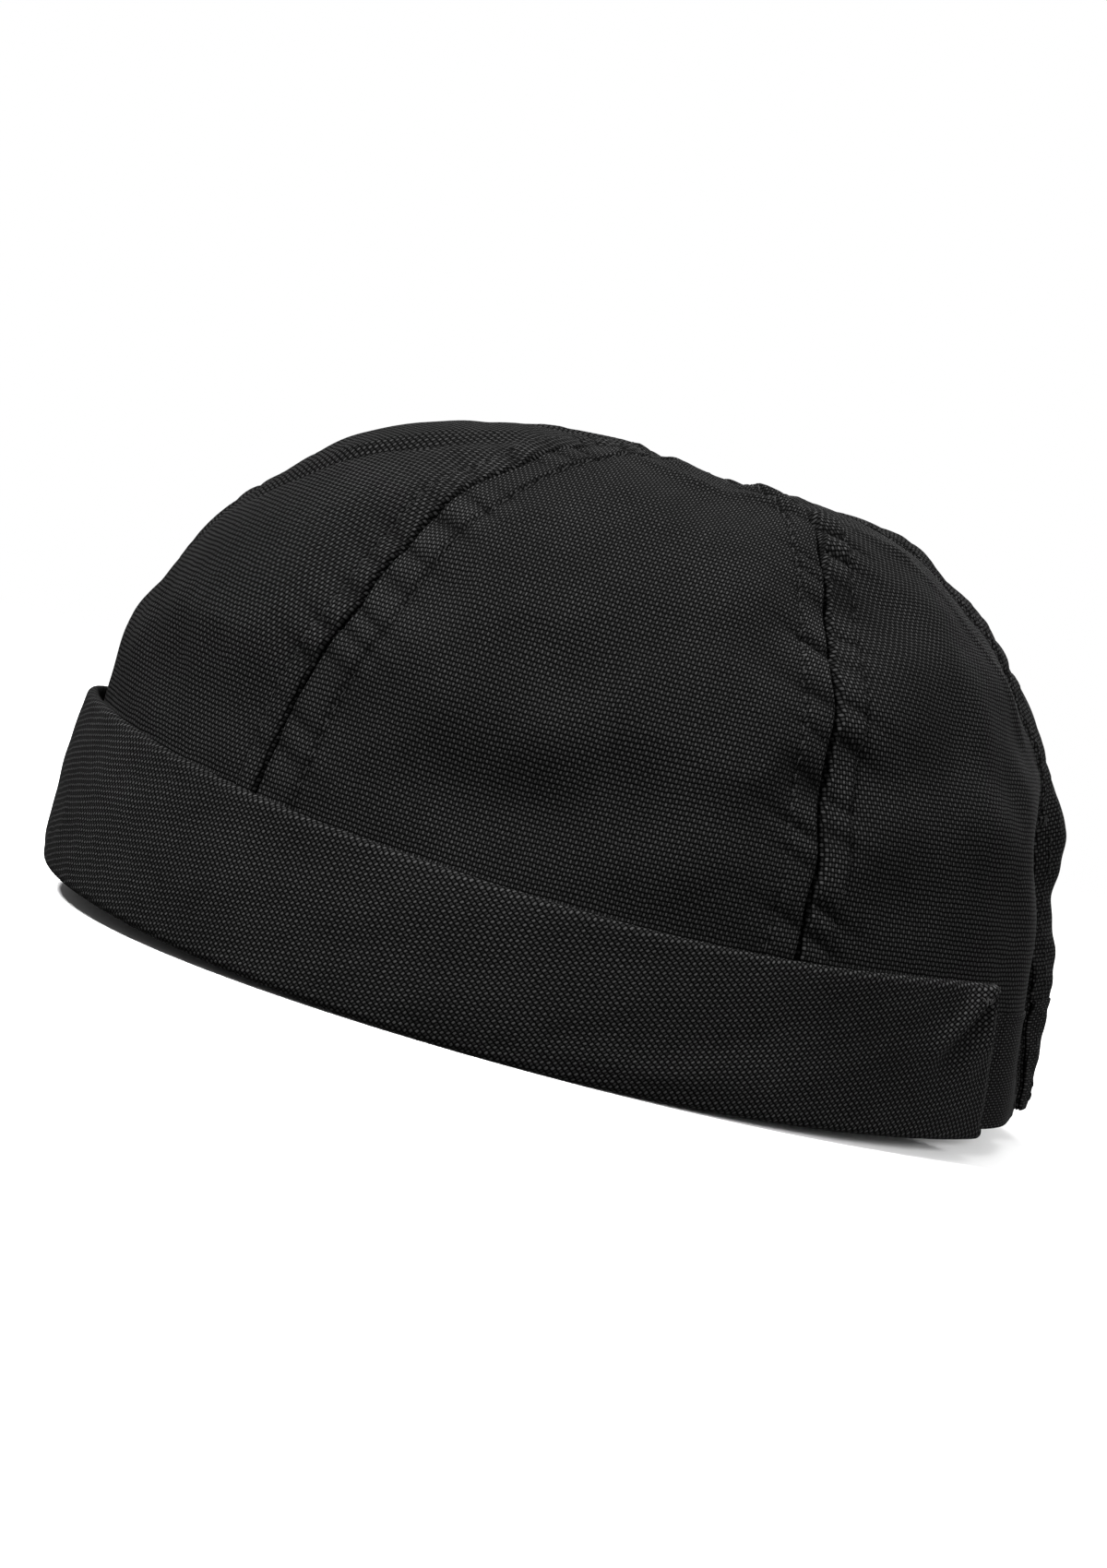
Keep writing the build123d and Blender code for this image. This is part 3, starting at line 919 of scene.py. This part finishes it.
def cuff_point(angle, offset, height):
    """Points round the rim at offsets from it, and their outward directions."""
    turn = np.radians(angle)
    x, y = (HALF_WIDTH + offset) * np.sin(turn), CENTRE_Y - (HALF_LENGTH + offset) * np.cos(turn)
    radial = np.stack([np.sin(turn) / HALF_WIDTH, -np.cos(turn) / HALF_LENGTH, 0 * turn], -1)
    return np.stack([x, y, height + 0 * angle], -1), radial / np.linalg.norm(radial, axis=-1, keepdims=True)


def cuff_swell(angle, offset, height):
    """How far the cuff's cloth stands outward of its plain upright wall."""
    ring = cuff_ring(angle, height * 1.4)
    share = height / CUFF_TOP
    broad = 0.55 * waves(ring, 90, 21) * (0.35 + 0.65 * share) + 0.16 * waves(ring, 28, 22)
    flare = -1.6 * share**2 * np.exp(-((wrapped(angle) / 38) ** 2))
    outer = smooth(offset, CUFF_BACK, CUFF_FACE)
    pillow = 0.45 * outer * np.sin(pi * np.clip(share, 0, 1)) ** 0.8
    grain = 0.05 * outer * waves(ring, 9, 23)
    return broad + flare + pillow + grain


def cuff_dent(away, height):
    """The pull of a bar tack on the cloth: a slanting hollow below it, and a soft ridge under that."""
    line = [(1.0, CUFF_TOP - 2.5), (9.0, CUFF_TOP - 11.0), (17.0, CUFF_TOP - 19.0)]
    spot = np.stack([away, height], -1)
    far, share = near_line(spot, line)
    fade = (1 - share) ** 0.7 * smooth(away, 0, 3)
    above = near_line(spot - np.array([2.4, 2.4]), line)[0]
    below = near_line(spot - np.array([-3.4, -3.4]), line)[0]
    ridges = 2.6 * np.exp(-((above / 2.1) ** 2)) + 1.2 * np.exp(-((below / 2.2) ** 2))
    return (ridges - 2.8 * np.exp(-((far / (1.3 + 0.9 * share)) ** 2))) * fade


def cuff_grid(section):
    """Points of a sheet that follows the cuff, its outward directions and cloth coordinates, and the bar
    tacks' pull on it."""
    deltas = np.gradient(section, axis=0)
    deltas /= np.linalg.norm(deltas, axis=-1, keepdims=True)
    run = np.concatenate([[0], np.cumsum(np.linalg.norm(np.diff(section, axis=0), axis=-1))])
    length = 2 * pi * (MEAN_RADIUS + CUFF_FACE) * 0.9
    shares = spread(length, 24.0, 0.7, 1.3)
    end = cuff_end(section[:, 1])[:, None]
    angle = -180 + end + (360 - 2 * end) * shares[None, :]
    offset = np.broadcast_to(section[:, :1], angle.shape)
    height = np.broadcast_to(section[:, 1:], angle.shape)
    away = np.radians(180 - end - np.abs(angle)) * (MEAN_RADIUS - 10)
    closing = 1 - smooth(away, 0, CUFF_END_TAPER)
    middle = CUFF_FACE - CUFF_ROLL
    standing = smooth(height, 1, 4)
    offset = offset + (middle - offset) * 0.62 * closing * standing
    outer = smooth(offset, CUFF_BACK, CUFF_FACE)
    dent = cuff_dent(away, height)
    swell = cuff_swell(angle, offset, height) + dent * (0.35 + 0.65 * outer)
    swell = np.maximum(swell * standing, -0.25 - 0.9 * outer) * (0.25 + 0.75 * smooth(height, 1, 6))
    taller = 0.5 * waves(cuff_ring(angle, 0 * angle), 110, 31)
    taller += CUFF_FRONT_RISE * np.exp(-((wrapped(angle) / 34) ** 2))
    points, radial = cuff_point(angle, offset + swell, height + height / CUFF_TOP * taller)
    # The outward side of the strip turns with the section: out on the face, up on the roll, in on the back.
    outward = radial * deltas[:, 1][:, None, None] - np.array([0, 0, 1.0]) * deltas[:, 0][:, None, None]
    uv = np.stack([np.radians(angle) * MEAN_RADIUS + 400, np.broadcast_to(run[:, None], angle.shape)], -1)
    return points, outward, uv, dent


def cuff_sheet(name, section, thickness, material):
    points, outward, uv, dent = cuff_grid(section)
    across, along = grid_lengths(points)
    half = edge_rounding(across, along, thickness)[..., None]
    # Painted shade in the bar tack's hollow and painted highlight on its ridges, from the dent's relief.
    painted_relief_shade = np.clip(0.6 + 0.25 * dent, 0, 0.8)
    mesh = shell_mesh(name, points + outward * half, points - outward * half, uv, painted_relief_shade)
    piece = link_piece(name, mesh, "cap", material)
    return piece


def cuff_place(end_side, height_of):
    """The place of stitches on the cuff's face, by distance from one of its ends."""

    def place(along, lift):
        height = height_of(along)
        turn_back = cuff_end(height) + np.degrees(along / (MEAN_RADIUS - 10))
        angle = end_side * (180 - turn_back)
        swell = cuff_swell(angle, CUFF_FACE + 0 * angle, height) + cuff_dent(along, height)
        return cuff_point(angle, CUFF_OUTER + swell + lift, height)

    return place


def make_cuff():
    cuff_sheet("cuff", cuff_section(), CUFF_LAYER, CUFF_CANVAS)
    middle = CUFF_FACE - CUFF_ROLL
    stiffener = straight_run((middle, 2.4), (middle, CUFF_TOP - 3.2), 2.0)
    cuff_sheet("cuff_interlining", stiffener, 0.5, INTERLINING)
    tack_height = CUFF_TOP - 3.0
    for name, side in (("left", 1), ("right", -1)):
        rows = []
        for index in range(14):
            start = 1.4 + 0.42 * index

            def height_of(along, start=start, way=1 if index % 2 else -1):
                return tack_height + 0.75 * (along - start - 0.2) / 0.2 * way

            rows.append((cuff_place(side, height_of), [start], 0.4, 0.16))
        link_thread("cuff_bar_tack_" + name, rows)


# ---- Rim, vent and the inside ----
# Layers are (outer, inner) lifts off the crown's outside, and angles are meridians
RIM_BAND_LAYER = (0.1, 0.1 - CLOTH)
SWEATBAND_ENDS = (-163.0, 140.0)
SWEATBAND_LAYER = (-0.95, -1.75)
FACING_LAYER = (-0.9, -1.4)
TAPE_LAYER = (-0.86, -1.3)
UNDERLAY_LAYER = (-1.5, -2.05)
HOOK_LAYER = (-1.45, -2.35)
LOOP_LAYER = (-2.85, -3.55)
TAB_LAYER = (-3.6, -4.3)
TAB_BASE_LAYER = (-2.1, -4.3)
LABEL_LAYER = (-1.8, -2.0)
UNDERLAY_ANGLES = (173.0, 192.0)
TAB_ANGLES = (152.0, 186.0)
TAB_BASE_ANGLES = (186.4, 191.0)
HOOK_ANGLES = (153.5, 170.0)
LOOP_ANGLES = (154.0, 171.0)
TAPE_MARGIN = 1.5
LABEL_ANGLES = (-156.0, -144.0)


def make_rim_band():
    """The lower band of the crown, from one side of the slit round the front to the other."""
    tall = RIM_CLEARANCE + (BAND_TOP - RIM_CLEARANCE) * even_spread(BAND_TOP - RIM_CLEARANCE, 0.9)
    slit = slit_degrees(tall)[:, None]
    shares = spread(2 * pi * MEAN_RADIUS, 40.0, 0.7, 1.6)
    angle = -180 + slit + (360 - 2 * slit) * shares[None, :]
    height = np.broadcast_to(tall[:, None], angle.shape)
    uv = np.stack([np.radians(angle) * MEAN_RADIUS + 700, height], -1)
    step = 0.3 * smooth(height, BAND_TOP - 2.5, BAND_TOP - 1.0) * smooth(np.abs(angle), 140, 150)
    crown_sheet("rim_band", angle, polar_at_height(height, angle), RIM_BAND_LAYER, uv, BAND_CANVAS,
                extra=step)


def slit_sheet(name, side):
    """A facing that follows one edge of the slit on the inside."""
    near, far = 0.3, 14.0
    length = FACING_TOP - RIM_CLEARANCE
    tall = RIM_CLEARANCE + length * even_spread(length, 1.0)[:, None]
    from_edge = near + (far - near) * even_spread(far - near, 0.8)[None, :]
    angle = 180 - side * (slit_degrees(tall) + np.degrees(from_edge / HALF_WIDTH))
    height = tall + 0 * angle
    uv = np.stack([from_edge + 0 * angle, height], -1)
    crown_sheet(name, angle, polar_at_height(height, angle), FACING_LAYER, uv, PANEL_CANVAS)


def make_tapes():
    """The tapes that bind the seams inside the crown. The centre one runs from front to back."""
    foot = float(arc_of(polar_at_height(SWEATBAND_TOP + 3)))
    lateral = TAPE_HALF_WIDTH * (2 * even_spread(2 * TAPE_HALF_WIDTH, 0.8) - 1)
    for name in SEAMS:
        if name == "rear_centre":
            continue
        long_way = name == "front_centre"
        crest = float(ARC_LENGTH[-1])
        rear_foot = float(arc_of(polar_at_height(FACING_TOP + 1.5)))
        total = (2 * crest - rear_foot if long_way else crest - SHORT_TAPE_RADIUS) - foot
        arcs = foot + total * even_spread(total, 1.0)
        polar = np.where(arcs > crest, pi - polar_of(2 * crest - arcs), polar_of(arcs))[:, None]
        angle, place = beside_seam(name, polar + 0 * lateral, lateral[None, :] + 0 * polar)
        uv = np.stack([lateral[None, :] + 0 * angle, arcs[:, None] + 0 * angle], -1)
        node = "seam_tape_" + ("centre" if long_way else name)
        piece = crown_sheet(node, angle, place, TAPE_LAYER, uv, TAPE_TWILL)


def frame_rows(angles, heights, lift_by, pitch=2.2, inset=0.9):
    """Rows of stitches round a rectangle, seen from inside the cap."""
    start, end = (radians(angle) * MEAN_RADIUS for angle in angles)
    low, high = heights
    rows = []
    for height in (low + inset, high - inset):
        starts = np.arange(start + inset, end - inset - pitch * 0.8, pitch)
        rows.append((level_row(height, lift_by, -1.0), starts, pitch * 0.75, 0.16))
    for edge in (start + inset, end - inset):
        starts = np.arange(low + inset, high - inset - pitch * 0.8, pitch)
        place = upright_row(lambda z, edge=edge: degrees(edge / MEAN_RADIUS) + 0 * z, lift_by, -1.0)
        rows.append((place, starts, pitch * 0.75, 0.16))
    return rows


def make_inside():
    """The sweatband, label and the hook-and-loop closure."""
    band_sheet("sweatband", SWEATBAND_ENDS, (1.5, SWEATBAND_TOP), SWEATBAND_LAYER, SWEATBAND_TWILL,
               1.6)
    start, end = (radians(angle) * MEAN_RADIUS for angle in SWEATBAND_ENDS)
    place = level_row(SWEATBAND_TOP - 2.5, SWEATBAND_LAYER[1], -1.0)
    link_thread("sweatband_stitching", [(place, np.arange(start + 2, end - 4, 3.0), 2.3, 0.17)])
    band_sheet("care_label", LABEL_ANGLES, (6, 24), LABEL_LAYER, LABEL, 0.8)
    tape = (TAB_FOOT + TAPE_MARGIN, TAB_TOP - TAPE_MARGIN)
    tab = (TAB_FOOT, TAB_TOP)
    band_sheet("hook_tape", HOOK_ANGLES, tape, HOOK_LAYER, HOOK_NYLON, 0.8)
    band_sheet("loop_tape", LOOP_ANGLES, tape, LOOP_LAYER, LOOP_NAP, 0.5, "closure_tab")
    band_sheet("closure_tab", TAB_ANGLES, tab, TAB_LAYER, PANEL_CANVAS, 0.8, "closure_tab")
    band_sheet("closure_tab_base", TAB_BASE_ANGLES, tab, TAB_BASE_LAYER, PANEL_CANVAS, 0.6)
    for node, angles, heights, lift_by, body in (
        ("hook_tape_stitching", HOOK_ANGLES, tape, HOOK_LAYER[1] + 0.1, "cap"),
        ("loop_tape_stitching", LOOP_ANGLES, tape, TAB_LAYER[1], "closure_tab"),
        ("closure_tab_stitching", TAB_BASE_ANGLES, tab, TAB_BASE_LAYER[1], "cap"),
    ):
        link_thread(node, frame_rows(angles, heights, lift_by), body)


def make_vent():
    """The slit's facings, its stitched edges, the underlay that shows in it and the tack at its top."""
    band_sheet("vent_underlay", UNDERLAY_ANGLES, (RIM_CLEARANCE, UNDERLAY_TOP), UNDERLAY_LAYER, BAND_CANVAS,
               0.8)
    for name, side in (("left", 1), ("right", -1)):
        slit_sheet("vent_facing_" + name, side)

        def edge(height, side=side):
            return 180 - side * (slit_degrees(height) + np.degrees(3.2 / HALF_WIDTH))

        starts = starts_between(RIM_CLEARANCE + 1, SLIT_TOP - 1)
        link_thread("vent_topstitch_" + name, [(upright_row(edge, 0.12), starts, 2.25, 0.17)])
    rows = []
    for index in range(12):
        along = pi * MEAN_RADIUS - 2.6 + 0.45 * index

        def angle_at(height, along=along):
            return degrees(along / MEAN_RADIUS) + 0 * height

        rows.append((upright_row(angle_at, 0.1), [SLIT_TOP - 0.8], 2.0, 0.2))
    link_thread("vent_bar_tack", rows)


make_panels()
make_topstitching()
make_cuff()
make_rim_band()
make_tapes()
make_vent()
make_inside()


def make_floor():
    """A wide pale floor under the rim, which goes over into the white surroundings some way off."""
    half = 30.0
    mesh = bpy.data.meshes.new("floor")
    corners = [(-half, -half, 0), (half, -half, 0), (half, half, 0), (-half, half, 0)]
    mesh.from_pydata(corners, [], [(0, 1, 2, 3)])
    material, tree, shader = node_tree("floor_paper")
    geometry = tree.nodes.new("ShaderNodeNewGeometry")
    place = geometry.outputs["Position"]
    distance = new_node(tree, "VectorMath", {0: place})
    distance.operation = "LENGTH"
    near = math_node(tree, "SUBTRACT", 1.0, ramp(tree, distance.outputs["Value"], 0.25, 1.1))
    seen = tree.nodes.new("ShaderNodeLightPath").outputs["Is Camera Ray"]
    paper = multiply(tree, multiply_add(tree, noise_node(tree, place, 60.0), 0.04, 0.86), near)
    set_inputs(tree, shader, {
        "Base Color": grey_mix(tree, paper, 0.0, 1.0),
        "Roughness": 1.0,
        "Specular IOR Level": 0.0,
        "Emission Color": (1, 1, 1, 1),
        "Emission Strength": math_node(tree, "SUBTRACT", 1.0, near),
    })
    clear = tree.nodes.new("ShaderNodeBsdfTransparent")
    front = math_node(tree, "SUBTRACT", 1.0, geometry.outputs["Backfacing"])
    mix = new_node(tree, "MixShader", {
        0: multiply(tree, seen, front),
        1: clear.outputs["BSDF"],
        2: shader.outputs["BSDF"],
    })
    tree.links.new(mix.outputs["Shader"], tree.nodes["Material Output"].inputs["Surface"])
    floor = bpy.data.objects.new("floor", mesh)
    mesh.materials.append(material)
    bpy.context.scene.collection.objects.link(floor)


make_floor()
